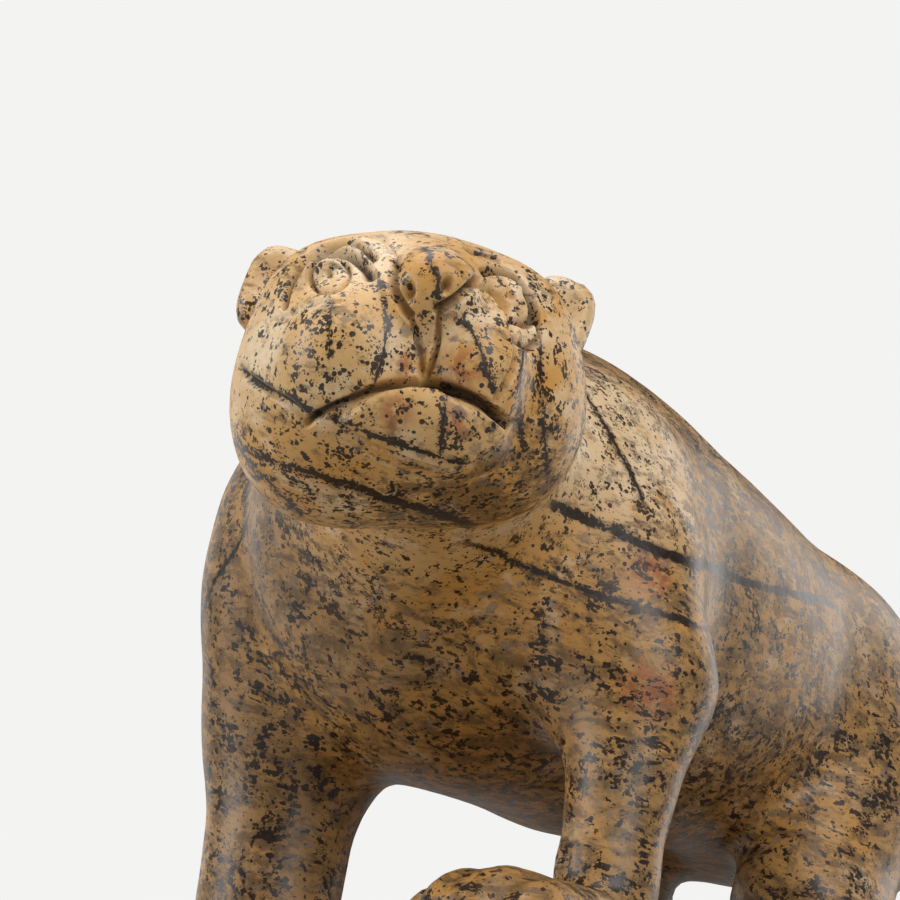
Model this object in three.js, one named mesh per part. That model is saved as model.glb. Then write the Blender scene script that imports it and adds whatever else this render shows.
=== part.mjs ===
// A walking cat carved, with the low rock it stands on, from one block of stone.
// Millimetres, +Z up. The cat walks along -Y and turns its head to its left, +X.
// The origin is the middle of the flat underside.
import * as THREE from "three";

// Driving dimensions
const ROCK_HALF_WIDTH = 58;
const ROCK_HALF_LENGTH = 120;
const ROCK_HEIGHT = 12;
const CAT_SHIFT_Y = -8;
const FORE_Y = -36;
const RIGHT_FORE_X = -35.5;
const LEFT_FORE_X = 32;
const RAISED_PAW = 17;
const HEAD_CENTRE = [28.9, -81.2, 113];
const HEAD_TURN = [-4, 6, 40];
const FACE_TILT = 26.6;

// Grid steps of the surface, and the number of triangles it is thinned to
const BODY_STEP = 2.2;
const HEAD_STEP = 0.75;
const TRIANGLES = 9700;
const HEAD_WEIGHT = 14;

const RAD = Math.PI / 180;

// Distance fields: negative inside the stone

const ellipsoid = (rx, ry, rz) => (x, y, z) => {
  const far = Math.hypot(x / rx, y / ry, z / rz);
  const slope = Math.hypot(x / (rx * rx), y / (ry * ry), z / (rz * rz));
  return slope > 1e-9 ? (far * (far - 1)) / slope : -Math.min(rx, ry, rz);
};

// A round bar from a to b whose radius runs from ra to rb
const limb = (a, b, ra, rb) => {
  const way = b.map((v, i) => v - a[i]);
  const square = way[0] ** 2 + way[1] ** 2 + way[2] ** 2;
  return (x, y, z) => {
    const along = (x - a[0]) * way[0] + (y - a[1]) * way[1] + (z - a[2]) * way[2];
    const t = Math.min(1, Math.max(0, along / square));
    const off = Math.hypot(x - a[0] - t * way[0], y - a[1] - t * way[1], z - a[2] - t * way[2]);
    return off - ra - t * (rb - ra);
  };
};

// Joins two distances with a rounded seam of size k
const join = (a, b, k) => {
  const close = Math.max(k - Math.abs(a - b), 0) / k;
  return Math.min(a, b) - (close * close * k) / 4;
};

const blend = (k, ...shapes) => (x, y, z) => {
  let d = shapes[0](x, y, z);
  for (let i = 1; i < shapes.length; i += 1) {
    d = join(d, shapes[i](x, y, z), k);
  }
  return d;
};

const carve = (k, shape, hollow) => (x, y, z) => -join(-shape(x, y, z), hollow(x, y, z), k);

// Turns a shape about x, then y, then z, in degrees, and moves it to its centre
const placed = (centre, turn, shape) => {
  const euler = new THREE.Euler(turn[0] * RAD, turn[1] * RAD, turn[2] * RAD, "ZYX");
  const m = new THREE.Matrix4().makeRotationFromEuler(euler).elements;
  return (x, y, z) => {
    const dx = x - centre[0];
    const dy = y - centre[1];
    const dz = z - centre[2];
    return shape(
      m[0] * dx + m[1] * dy + m[2] * dz,
      m[4] * dx + m[5] * dy + m[6] * dz,
      m[8] * dx + m[9] * dy + m[10] * dz,
    );
  };
};

const bead = (centre, radii, turn = [0, 0, 0]) => placed(centre, turn, ellipsoid(...radii));

// Works a shape out only near the ball that holds it; further off the ball's own distance will do
const near = (centre, radius, shape) => (x, y, z) => {
  const ball = Math.hypot(x - centre[0], y - centre[1], z - centre[2]) - radius;
  return ball > 12 ? ball : shape(x, y, z);
};

// Depth of a cut at a distance from its middle line
const cut = (distance, halfWidth, depth) => {
  const t = distance / halfWidth;
  return t < 1 ? depth * (1 - t * t) ** 2 : 0;
};

// Distance in a plane to a line drawn through the points
const drawn = (points, p, q) => {
  let best = Infinity;
  for (let i = 1; i < points.length; i += 1) {
    const [ap, aq] = points[i - 1];
    const bp = points[i][0] - ap;
    const bq = points[i][1] - aq;
    const t = Math.min(1, Math.max(0, ((p - ap) * bp + (q - aq) * bq) / (bp * bp + bq * bq)));
    best = Math.min(best, Math.hypot(p - ap - t * bp, q - aq - t * bq));
  }
  return best;
};

// Distance in a plane outside a convex outline drawn clockwise
const outside = (points, p, q) => {
  let most = -Infinity;
  points.forEach(([ap, aq], i) => {
    const [bp, bq] = points[(i + 1) % points.length];
    const length = Math.hypot(bp - ap, bq - aq);
    most = Math.max(most, ((p - ap) * (aq - bq) + (q - aq) * (bp - ap)) / length);
  });
  return most;
};

// Trunk, neck and tail

function trunk() {
  const chest = bead([-2, -25, 106.5], [33, 32, 37]);
  const withers = bead([0, -6, 126], [20, 28, 23]);
  const barrel = bead([-1, 14, 106], [35, 46, 40]);
  const loin = bead([0, 54, 103.5], [32, 44, 35.5]);
  const rump = bead([0, 88, 97], [30, 33, 33]);
  return blend(16, chest, withers, barrel, loin, rump);
}

function neck() {
  return limb([2, -38, 114], [22, -64, 113], 28, 19);
}

function tail() {
  const root = limb([0, 102, 114], [0, 115, 99], 11, 8.5);
  const middle = limb([0, 115, 99], [1, 118, 60], 8.5, 7.5);
  const lower = limb([1, 118, 60], [5, 113, 28], 7.5, 7);
  const tip = limb([5, 113, 28], [16, 101, 16], 7, 6.5);
  return near([4, 110, 62], 62, blend(6, root, middle, lower, tip));
}

// Paws: an oval with three cuts between the toes

function paw(x, y, z, halfLength) {
  const sole = bead([x, y, z + 7.5], [13, halfLength, 10.5], [3, 0, 0]);
  const ball = bead([x, y - halfLength + 13, z + 8.5], [13, 12, 10]);
  const pad = blend(3, sole, ball);
  const cutPad = (px, py, pz) => {
    const toes = Math.min(Math.abs(px - x - 6.4), Math.abs(px - x), Math.abs(px - x + 6.4));
    const front = Math.min(1, Math.max(0, (y - 5 - py) / 8));
    return pad(px, py, pz) + front * cut(toes, 1.9, 1.7);
  };
  return near([x, y, z + 8], halfLength + 2, cutPad);
}

// Legs

function rightForeleg() {
  const shoulder = bead([-34, -26, 105], [15, 21.5, 33]);
  const upper = limb([-35, -24, 100], [-36, -25, 80], 14, 13.5);
  const lower = limb([-36, -26, 80], [RIGHT_FORE_X, FORE_Y, 32], 13.5, 11);
  const wrist = limb([RIGHT_FORE_X, FORE_Y, 32], [RIGHT_FORE_X, FORE_Y - 2, 20], 11, 11.5);
  const foot = paw(RIGHT_FORE_X, FORE_Y - 12, ROCK_HEIGHT, 21);
  return near([-35, -34, 72], 76, blend(8, blend(12, shoulder, upper), lower, wrist, foot));
}

function leftForeleg() {
  const sole = ROCK_HEIGHT + RAISED_PAW;
  const shoulder = bead([25.5, -22, 102], [12, 20, 31], [-14, 0, 0]);
  const upper = limb([28, -24, 100], [LEFT_FORE_X, -25, 80], 14, 10.5);
  const lower = limb([LEFT_FORE_X + 1, -26, 80], [LEFT_FORE_X, FORE_Y, sole + 20], 10.5, 6.8);
  const wrist = limb([LEFT_FORE_X, FORE_Y, sole + 20], [LEFT_FORE_X - 0.5, FORE_Y - 2, sole + 8], 6.8, 7);
  const arm = blend(8, shoulder, upper, lower);
  return near([30, -40, 78], 72, blend(4, arm, wrist, paw(LEFT_FORE_X, FORE_Y - 20, sole, 23.5)));
}

function leftHindLeg() {
  const thigh = bead([20, 86, 92], [16, 29, 33], [16, 0, 0]);
  const knee = limb([22, 76, 78], [24, 49, 54], 18, 13);
  const shin = limb([25, 50, 50], [27, 82, 36], 11, 8.5);
  const foot = limb([27, 82, 36], [27, 74, 20], 8.5, 8.5);
  return near([22, 76, 66], 68, blend(8, thigh, knee, shin, foot, paw(27, 62, ROCK_HEIGHT, 21)));
}

function rightHindLeg() {
  const thigh = bead([-20, 92, 97], [15, 25, 27]);
  const knee = limb([-24, 84, 84], [-26, 66, 67], 15, 8.5);
  const shin = limb([-26, 66, 65], [-28, 98, 38], 8.5, 8);
  const foot = limb([-28, 98, 38], [-28, 94, 22], 8, 8.5);
  return near([-23, 86, 66], 66, blend(8, thigh, knee, shin, foot, paw(-28, 84, ROCK_HEIGHT, 20)));
}

// Head, in its own frame: x to the cat's left, -y ahead, z up.
// Its lines are drawn on a plane that faces ahead and down: p to the cat's left, q up.

// Main cut lines: half width, depth, and the points that the line runs through
const FRONT_CUTS = [
  // Mouth, right half and left half
  [1.25, 1.8, [[-12.7, -7.1], [-10.7, -5.4], [-7.5, -3.5], [-5.2, -2], [-2.4, -0.7], [0, -0.2], [1.4, 0]]],
  [1.6, 2.2, [[1.4, 0], [4, -0.3], [6.6, -1], [9.7, -2.2], [12.4, -4.1]]],
  // Nose, right edge and left edge
  [1.2, 1.1, [[-4.2, 15], [-4.4, 13], [-3.8, 10.8], [-2.3, 8.8], [-1.4, 8]]],
  [1.3, 1.6, [[6.8, 14], [6, 13], [4.2, 10.9], [2, 9.2]]],
  // Groove from the nose to the mouth
  [1.3, 0.8, [[0.2, 8], [0.8, 4], [1.4, 0.8]]],
  // Right upper lid
  [1.2, 1, [[-18, 7.6], [-17.7, 10.7], [-15.9, 14.3], [-12.7, 17], [-9.6, 17.4], [-7, 15.4]]],
  // Outer edge of the left lip pad
  [1.3, 0.8, [[8.9, 13.2], [11.2, 11], [12.5, 7.3], [12.8, 4.3], [11.8, 1.1]]],
];

// The left eye's main lines, drawn from this much further round to its side
const LEFT_EYE_TURN = 35;
const LEFT_EYE_CUTS = [
  // Upper lid, and under the eyeball
  [1.3, 1.4, [[-5.9, 15.6], [-3, 17], [-0.6, 17.2], [1.2, 15.9], [2.4, 13.6], [2.7, 11.2]]],
  [1.2, 1.1, [[-4.5, 13.8], [-3.8, 12], [-1.4, 11.1], [0.9, 11.6]]],
];

// The lower lip, a raised leaf drawn clockwise
const LIP_RISE = 1.3;
const LOWER_LIP = [
  [-8.5, -6.1], [-5.8, -3.5], [-3.1, -1.9], [-0.2, -1.3], [3.1, -1.1], [7.5, -2.4],
  [12.2, -4.2], [10.9, -6.6], [8.6, -8.9], [5.2, -10], [0.8, -9.2], [-4, -8],
];

// A line of points rounded off to a curve
function rounded(points) {
  const curve = new THREE.SplineCurve(points.map(([p, q]) => new THREE.Vector2(p, q)));
  return curve.getPoints(3 * (points.length - 1)).map((v) => [v.x, v.y]);
}

const prepared = (cuts) => cuts.map(([halfWidth, depth, points]) => [halfWidth, depth, rounded(points)]);
const frontCuts = prepared(FRONT_CUTS);
const leftEyeCuts = prepared(LEFT_EYE_CUTS);

// Height on the plane that faces ahead and down
const faceHeight = (y, z) => z * Math.cos(FACE_TILT * RAD) - y * Math.sin(FACE_TILT * RAD);

const deepest = (cuts, p, q) => Math.max(...cuts.map(([halfWidth, depth, points]) => (
  cut(drawn(points, p, q), halfWidth, depth))));

// How far the lines of the face push its surface in, and the lower lip out
function faceCuts(x, y, z) {
  const front = Math.min(1, Math.max(0, (-y - 4) / 6));
  if (front === 0) {
    return 0;
  }
  const q = faceHeight(y, z);
  const turn = LEFT_EYE_TURN * RAD;
  const sideP = x * Math.cos(turn) + y * Math.sin(turn);
  const sideQ = faceHeight(y * Math.cos(turn) - x * Math.sin(turn), z);
  const beside = x < 3 ? 0 : deepest(leftEyeCuts, sideP, sideQ);
  const rise = LIP_RISE * Math.min(1, Math.max(0, 0.5 - outside(LOWER_LIP, x, q) / 1.2));
  return front * (Math.max(deepest(frontCuts, x, q), beside) - rise);
}

// A plate across x and z with rounded corners
const plate = (rx, ry, rz) => (x, y, z) => {
  const across = (Math.abs(x / rx) ** 3 + Math.abs(z / rz) ** 3) ** (1 / 3);
  return (Math.hypot(across, y / ry) - 1) * ry;
};

function ear(side) {
  const height = side > 0 ? 16.8 : 15.6;
  const turn = [0, side > 0 ? 14 : 10, 0];
  const flap = placed([20.6 * side, 8, height], turn, plate(5.3, 3.6, 7.6));
  const hollow = bead([21.6 * side, 3.6, height + 0.4], [3.6, 2.8, 5.4], turn);
  return carve(0.8, flap, hollow);
}

function head() {
  const skull = bead([0, 0, 1.5], [21.5, 21, 17.5]);
  const rightBrow = bead([-11, -7, 6.5], [9, 9, 7.6]);
  const leftBrow = bead([11, -7, 6.5], [9, 9, 7.6]);
  const rightCheek = bead([-11, -1, -6.8], [13, 17, 14.5]);
  const leftCheek = bead([11.5, -1, -5], [13, 17, 13.6]);
  const jaw = bead([-3, -5, -12.8], [15, 16, 8.5]);
  const snout = limb([0, -17, 0], [0, -6, 7], 8, 9);
  const rightPad = bead([-8.4, -18, -7.4], [8.6, 9, 9.6]);
  const leftPad = bead([7.6, -18, -7.2], [7.4, 9, 9.6]);
  const nose = limb([1.4, -24.6, 0.6], [0.8, -13, 8], 5.5, 6);
  const chin = bead([1.5, -15.5, -15], [11.5, 9, 5.4], [0, 4, 0]);
  const rightEye = bead([-12.4, -15, 5.9], [4.2, 4.4, 3.9]);
  const leftEye = bead([11.6, -14.8, 4.8], [4, 4.4, 3.6]);
  const leftUnderlid = bead([14.2, -15.5, -0.2], [3, 3, 1.9]);
  const mass = blend(7, skull, rightBrow, leftBrow, rightCheek, leftCheek, jaw, snout);
  const muzzle = blend(2.5, blend(5, mass, rightPad), leftPad, chin, nose);
  const face = blend(1, muzzle, rightEye, leftEye, leftUnderlid);
  const whole = blend(2, face, ear(-1), ear(1));
  return near([0, 0, 0], 36, (x, y, z) => whole(x, y, z) + faceCuts(x, y, z));
}

// The rock: a long rounded slab, with a step under the raised paw

function rock() {
  const step = (x, y, z) => {
    const across = ((x - LEFT_FORE_X) / 21) ** 4;
    const along = ((y + 52 - CAT_SHIFT_Y) / 34) ** 4;
    const up = ((z - 6) / 25) ** 4;
    return ((across + along + up) ** 0.25 - 1) * 20;
  };
  return (x, y, z) => {
    const round = (Math.abs(x / ROCK_HALF_WIDTH) ** 3 + Math.abs(y / ROCK_HALF_LENGTH) ** 3) ** (1 / 3);
    const top = ROCK_HEIGHT + 0.9 * Math.sin(x / 8 + 1) * Math.sin(y / 11);
    const slab = -join(-(round - 1) * 45, -(z - top), 7);
    return Math.max(join(slab, step(x, y, z), 8), -z);
  };
}

function catField() {
  const trunkField = trunk();
  const shoulders = blend(10, blend(12, trunkField, neck()), leftForeleg(), rightForeleg());
  const hips = blend(10, trunkField, leftHindLeg(), rightHindLeg());
  const body = blend(5, shoulders, hips, tail());
  const cat = blend(4, body, placed(HEAD_CENTRE, HEAD_TURN, head()));
  const ground = rock();
  return (x, y, z) => join(cat(x, y - CAT_SHIFT_Y, z), ground(x, y, z), 3);
}

// The surface

// Grid lines along one axis, closer together between the two fine limits
function gridLines(start, end, fineStart, fineEnd) {
  const lines = [];
  let at = start;
  while (at < end + BODY_STEP) {
    lines.push(at);
    const fine = at + 1e-6 >= fineStart && at < fineEnd;
    at += fine ? HEAD_STEP : BODY_STEP;
  }
  return lines;
}

// The six tetrahedra of a grid box, by the numbers of its corners (x + 2y + 4z)
const BOX_TETRAHEDRA = [
  [0, 1, 3, 7],
  [0, 3, 2, 7],
  [0, 2, 6, 7],
  [0, 6, 4, 7],
  [0, 4, 5, 7],
  [0, 5, 1, 7],
];

// Marches through the grid and returns the closed surface where the field is zero
function surfaceOf(field, xs, ys, zs) {
  const width = xs.length;
  const depth = ys.length;
  const values = new Float32Array(width * depth * zs.length);
  const index = (i, j, k) => i + width * (j + depth * k);
  zs.forEach((z, k) => ys.forEach((y, j) => xs.forEach((x, i) => {
    values[index(i, j, k)] = field(x, y, z);
  })));
  const points = [];
  const faces = [];
  const known = new Map();
  const place = (n) => [xs[n % width], ys[Math.floor(n / width) % depth], zs[Math.floor(n / (width * depth))]];
  const crossing = (a, b) => {
    const [low, high] = a < b ? [a, b] : [b, a];
    const key = low * values.length + high;
    if (!known.has(key)) {
      const t = Math.min(0.98, Math.max(0.02, values[low] / (values[low] - values[high])));
      const p = place(low);
      const q = place(high);
      known.set(key, points.length);
      points.push(p.map((v, m) => v + t * (q[m] - v)));
    }
    return known.get(key);
  };
  const cell = new Array(8);
  for (let k = 0; k + 1 < zs.length; k += 1) {
    for (let j = 0; j + 1 < depth; j += 1) {
      for (let i = 0; i + 1 < width; i += 1) {
        let within = 0;
        for (let c = 0; c < 8; c += 1) {
          cell[c] = index(i + (c & 1), j + ((c >> 1) & 1), k + (c >> 2));
          within += values[cell[c]] < 0 ? 1 : 0;
        }
        if (within > 0 && within < 8) {
          BOX_TETRAHEDRA.forEach((corners) => cutTetrahedron(corners.map((c) => cell[c]), values, crossing, faces));
        }
      }
    }
  }
  return { points, faces };
}

// Adds the one or two triangles in which the surface crosses a tetrahedron, facing outward
function cutTetrahedron(corners, values, crossing, faces) {
  const inside = [0, 1, 2, 3].filter((n) => values[corners[n]] < 0);
  const outer = [0, 1, 2, 3].filter((n) => values[corners[n]] >= 0);
  const even = (order) => {
    let swaps = 0;
    order.forEach((a, n) => order.slice(n + 1).forEach((b) => {
      swaps += a > b ? 1 : 0;
    }));
    return swaps % 2 === 0;
  };
  const edge = (a, b) => crossing(corners[a], corners[b]);
  const add = (a, b, c, keep) => faces.push(keep ? [a, b, c] : [a, c, b]);
  if (inside.length === 1 || outer.length === 1) {
    const lone = inside.length === 1 ? inside[0] : outer[0];
    const rest = inside.length === 1 ? outer : inside;
    const keep = even([lone, ...rest]) === (inside.length === 1);
    add(edge(lone, rest[0]), edge(lone, rest[1]), edge(lone, rest[2]), keep);
  } else if (inside.length === 2) {
    const [a, b] = inside;
    const [c, d] = outer;
    const keep = even([a, b, c, d]);
    const ring = [edge(a, c), edge(a, d), edge(b, d), edge(b, c)];
    add(ring[0], ring[1], ring[2], keep);
    add(ring[0], ring[2], ring[3], keep);
  }
}

// Thinning: the edge that changes the surface least is closed up first

function planeOf(p, q, r) {
  const a = q.map((v, m) => v - p[m]);
  const b = r.map((v, m) => v - p[m]);
  return [a[1] * b[2] - a[2] * b[1], a[2] * b[0] - a[0] * b[2], a[0] * b[1] - a[1] * b[0]];
}

// Adds a plane's squared distance, weighted by area, to the ten sums of a corner.
// The head counts for more, so its cut lines stay.
function addPlane(sums, at, n, p) {
  const size = Math.hypot(...n) || 1e-12;
  const [a, b, c] = n.map((v) => v / size);
  const onHead = Math.hypot(...p.map((v, m) => v - HEAD_CENTRE[m] - (m === 1 ? CAT_SHIFT_Y : 0))) < 33;
  const area = size * (onHead ? HEAD_WEIGHT : 1);
  const d = -(a * p[0] + b * p[1] + c * p[2]);
  [a * a, a * b, a * c, a * d, b * b, b * c, b * d, c * c, c * d, d * d].forEach((v, m) => {
    sums[at * 10 + m] += v * area;
  });
}

function squareError(s, [x, y, z]) {
  return s[0] * x * x + s[4] * y * y + s[7] * z * z + s[9]
    + 2 * (s[1] * x * y + s[2] * x * z + s[3] * x + s[5] * y * z + s[6] * y + s[8] * z);
}

// The point of least error, or null where the sums do not fix one
function bestPoint(s) {
  const minor = [s[4] * s[7] - s[5] * s[5], s[1] * s[7] - s[5] * s[2], s[1] * s[5] - s[4] * s[2]];
  const det = s[0] * minor[0] - s[1] * minor[1] + s[2] * minor[2];
  const size = (s[0] + s[4] + s[7]) ** 3;
  if (Math.abs(det) < 1e-4 * size) {
    return null;
  }
  const x = -(s[3] * minor[0] - s[1] * (s[6] * s[7] - s[5] * s[8]) + s[2] * (s[6] * s[5] - s[4] * s[8])) / det;
  const y = -(s[0] * (s[6] * s[7] - s[8] * s[5]) - s[3] * minor[1] + s[2] * (s[1] * s[8] - s[6] * s[2])) / det;
  const z = -(s[0] * (s[4] * s[8] - s[5] * s[6]) - s[1] * (s[1] * s[8] - s[6] * s[2]) + s[3] * minor[2]) / det;
  return [x, y, z];
}

// A queue that always gives back its cheapest entry
class Queue {
  constructor() {
    this.items = [];
  }

  push(item) {
    const { items } = this;
    let n = items.push(item) - 1;
    while (n > 0 && items[(n - 1) >> 1].cost > item.cost) {
      items[n] = items[(n - 1) >> 1];
      n = (n - 1) >> 1;
    }
    items[n] = item;
  }

  pop() {
    const { items } = this;
    const first = items[0];
    const last = items.pop();
    if (items.length > 0) {
      let n = 0;
      for (;;) {
        let child = 2 * n + 1;
        if (child >= items.length) {
          break;
        }
        if (child + 1 < items.length && items[child + 1].cost < items[child].cost) {
          child += 1;
        }
        if (items[child].cost >= last.cost) {
          break;
        }
        items[n] = items[child];
        n = child;
      }
      items[n] = last;
    }
    return first;
  }
}

function thinned(points, faces, target) {
  const sums = new Float64Array(points.length * 10);
  const around = points.map(() => new Set());
  const stamp = new Int32Array(points.length);
  const queue = new Queue();
  faces.forEach((face, f) => {
    const n = planeOf(...face.map((v) => points[v]));
    face.forEach((v) => {
      addPlane(sums, v, n, points[v]);
      around[v].add(f);
    });
  });
  const neighbours = (v) => {
    const found = new Set();
    around[v].forEach((f) => faces[f].forEach((w) => found.add(w)));
    found.delete(v);
    return found;
  };
  const offer = (a, b) => {
    const s = Array.from({ length: 10 }, (_, m) => sums[a * 10 + m] + sums[b * 10 + m]);
    const middle = points[a].map((v, m) => (v + points[b][m]) / 2);
    const long = Math.hypot(...points[a].map((v, m) => v - points[b][m]));
    const best = bestPoint(s);
    const near = best && Math.hypot(...best.map((v, m) => v - middle[m])) < 1.5 * long;
    const choices = near ? [best] : [middle, points[a], points[b]];
    const errors = choices.map((p) => squareError(s, p));
    const pick = errors.indexOf(Math.min(...errors));
    const cost = Math.max(0, errors[pick]) + 2e-5 * long ** 4;
    queue.push({ cost, a, b, at: choices[pick], stamps: [stamp[a], stamp[b]] });
  };
  const keepsShape = (v, other, at) => [...around[v]].every((f) => {
    if (faces[f].includes(other)) {
      return true;
    }
    const before = planeOf(...faces[f].map((w) => points[w]));
    const after = planeOf(...faces[f].map((w) => (w === v ? at : points[w])));
    const same = before[0] * after[0] + before[1] * after[1] + before[2] * after[2];
    return same > 0.3 * Math.hypot(...before) * Math.hypot(...after) && Math.hypot(...after) > 1e-3;
  });
  points.forEach((_, v) => neighbours(v).forEach((w) => {
    if (v < w) {
      offer(v, w);
    }
  }));
  let left = faces.length;
  while (left > target && queue.items.length > 0) {
    const { a, b, at, stamps } = queue.pop();
    const fresh = stamp[a] === stamps[0] && stamp[b] === stamps[1];
    if (!fresh) {
      continue;
    }
    const beside = neighbours(b);
    const shared = [...neighbours(a)].filter((v) => beside.has(v));
    if (shared.length !== 2 || !keepsShape(a, b, at) || !keepsShape(b, a, at)) {
      continue;
    }
    points[a] = at;
    around[b].forEach((f) => {
      if (faces[f].includes(a)) {
        faces[f].forEach((v) => around[v].delete(f));
        faces[f] = [];
        left -= 1;
      } else {
        faces[f] = faces[f].map((v) => (v === b ? a : v));
        around[a].add(f);
      }
    });
    around[b].clear();
    for (let m = 0; m < 10; m += 1) {
      sums[a * 10 + m] += sums[b * 10 + m];
    }
    stamp[b] = -1;
    stamp[a] += 1;
    neighbours(a).forEach((v) => offer(a, v));
  }
  return faces.filter((face) => face.length === 3);
}

function catMesh() {
  const field = catField();
  const xs = gridLines(-60.5, 60.5, 10, 56);
  const ys = gridLines(-122.1, 122.1, -116, -74);
  const zs = gridLines(-1.1, 156, 91, 136);
  const { points, faces } = surfaceOf(field, xs, ys, zs);
  const kept = thinned(points, faces, TRIANGLES);
  const number = new Map();
  const corners = [];
  const order = [];
  kept.forEach((face) => face.forEach((v) => {
    if (!number.has(v)) {
      number.set(v, number.size);
      const [x, y, z] = points[v];
      corners.push(x, y, Math.abs(z) < 0.02 ? 0 : z);
    }
    order.push(number.get(v));
  }));
  const geometry = new THREE.BufferGeometry();
  geometry.setAttribute("position", new THREE.Float32BufferAttribute(corners, 3));
  geometry.setIndex(order);
  geometry.computeVertexNormals();
  const stone = new THREE.MeshStandardMaterial({ color: 0xb98e55, roughness: 0.5, metalness: 0 });
  const mesh = new THREE.Mesh(geometry, stone);
  mesh.name = "cat";
  return mesh;
}

const group = new THREE.Group();
group.name = "stone cat";
group.add(catMesh());

export default group;
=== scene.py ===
"""A walking cat carved, with the low rock it stands on, from one block of dendritic stone.

The surface is worked out, in millimetres, from the same rounded forms as the solid part,
and laid on it.
"""

import math

import bmesh
import bpy
import numpy as np
from mathutils import Matrix, Vector


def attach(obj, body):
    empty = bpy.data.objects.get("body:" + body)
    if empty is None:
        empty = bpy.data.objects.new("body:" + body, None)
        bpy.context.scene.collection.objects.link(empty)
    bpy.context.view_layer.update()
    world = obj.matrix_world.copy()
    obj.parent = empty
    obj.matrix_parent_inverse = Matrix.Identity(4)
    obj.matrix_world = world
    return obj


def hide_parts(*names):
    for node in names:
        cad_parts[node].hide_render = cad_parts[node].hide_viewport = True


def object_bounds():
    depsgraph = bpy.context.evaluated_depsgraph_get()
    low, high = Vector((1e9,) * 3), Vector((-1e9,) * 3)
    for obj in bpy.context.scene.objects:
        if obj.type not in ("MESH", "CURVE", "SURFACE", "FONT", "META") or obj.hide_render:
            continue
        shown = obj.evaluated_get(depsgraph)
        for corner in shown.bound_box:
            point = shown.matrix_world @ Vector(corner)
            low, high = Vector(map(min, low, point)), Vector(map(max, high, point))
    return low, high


bl_info = {
    "name": "Stone cat",
    "version": (1, 0, 0),
    "blender": (4, 5, 0),
    "location": "3D View > Sidebar > Stone cat",
    "description": "Builds a carved stone cat on its rock, with its studio",
    "category": "Add Mesh",
}

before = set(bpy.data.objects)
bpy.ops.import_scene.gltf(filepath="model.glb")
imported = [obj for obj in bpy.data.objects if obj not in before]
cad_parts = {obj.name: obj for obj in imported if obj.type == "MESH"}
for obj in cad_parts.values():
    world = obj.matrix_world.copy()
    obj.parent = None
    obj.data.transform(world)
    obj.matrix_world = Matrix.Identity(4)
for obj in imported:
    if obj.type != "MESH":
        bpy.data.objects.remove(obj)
CAD_BOX = [list(map(float, corner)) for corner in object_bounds()]
MM = 0.001
WAVES = {"Height": 0.00035, "Spacing": 0.009}
ROUGHNESS = 0.45


def shade(red, green, blue):
    """A colour of everyday 0 to 255 values as Blender's linear one."""
    parts = [v / 255 for v in (red, green, blue)]
    return tuple(v / 12.92 if v <= 0.04045 else ((v + 0.055) / 1.055) ** 2.4 for v in parts)


# The carved form, in millimetres: distances that are negative inside the stone

CAT_SHIFT_Y = -8
FORE_Y = -36
RIGHT_FORE_X = -35.5
LEFT_FORE_X = 32
ROCK_HALF_WIDTH = 58
ROCK_HALF_LENGTH = 120
ROCK_HEIGHT = 12
RAISED_PAW = 17
HEAD_CENTRE = (28.9, -81.2, 113)
HEAD_TURN = (-4, 6, 40)
HEAD_REACH = 34
FACE_TILT = math.radians(26.6)
FACE_BACK = -7.5
NEAR_MARGIN = 12


def clip01(value):
    return np.clip(value, 0, 1)


def ellipsoid(rx, ry, rz):
    def distance(x, y, z):
        far = np.sqrt((x / rx) ** 2 + (y / ry) ** 2 + (z / rz) ** 2)
        slope = np.sqrt((x / rx**2) ** 2 + (y / ry**2) ** 2 + (z / rz**2) ** 2)
        return far * (far - 1) / np.maximum(slope, 1e-9)

    return distance


def limb(a, b, ra, rb):
    """A round bar from a to b whose radius runs from ra to rb."""
    way = [q - p for p, q in zip(a, b)]
    square = sum(v * v for v in way)

    def distance(x, y, z):
        off = (x - a[0], y - a[1], z - a[2])
        t = clip01(sum(p * q for p, q in zip(off, way)) / square)
        return np.sqrt(sum((p - t * q) ** 2 for p, q in zip(off, way))) - ra - t * (rb - ra)

    return distance


def join(a, b, k):
    """Joins two distances with a rounded seam of size k."""
    close = np.maximum(k - np.abs(a - b), 0) / k
    return np.minimum(a, b) - close * close * k / 4


def blend(k, *shapes):
    def distance(x, y, z):
        d = shapes[0](x, y, z)
        for shape in shapes[1:]:
            d = join(d, shape(x, y, z), k)
        return d

    return distance


def carve(k, shape, hollow):
    return lambda x, y, z: -join(-shape(x, y, z), hollow(x, y, z), k)


def turned(turn):
    """The turn about x, then y, then z, in degrees, as a matrix."""
    ax, ay, az = (math.radians(v) for v in turn)
    return Matrix.Rotation(az, 3, "Z") @ Matrix.Rotation(ay, 3, "Y") @ Matrix.Rotation(ax, 3, "X")


def into(centre, turn, x, y, z):
    """Points as seen from a turned centre."""
    m = turned(turn)
    off = (x - centre[0], y - centre[1], z - centre[2])
    return [sum(m[row][col] * off[row] for row in range(3)) for col in range(3)]


def placed(centre, turn, shape):
    return lambda x, y, z: shape(*into(centre, turn, x, y, z))


def bead(centre, radii, turn=(0, 0, 0)):
    return placed(centre, turn, ellipsoid(*radii))


def near(centre, radius, shape):
    """Works a shape out only within NEAR_MARGIN of the ball that holds it."""

    def distance(x, y, z):
        ball = np.sqrt((x - centre[0]) ** 2 + (y - centre[1]) ** 2 + (z - centre[2]) ** 2) - radius
        close = ball <= NEAR_MARGIN
        if close.any():
            ball[close] = shape(x[close], y[close], z[close])
        return ball

    return distance


def cut(distance, half_width, depth):
    """How deep a cut is at a distance from its middle line."""
    t = np.minimum(distance / half_width, 1)
    return depth * (1 - t * t) ** 2


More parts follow.
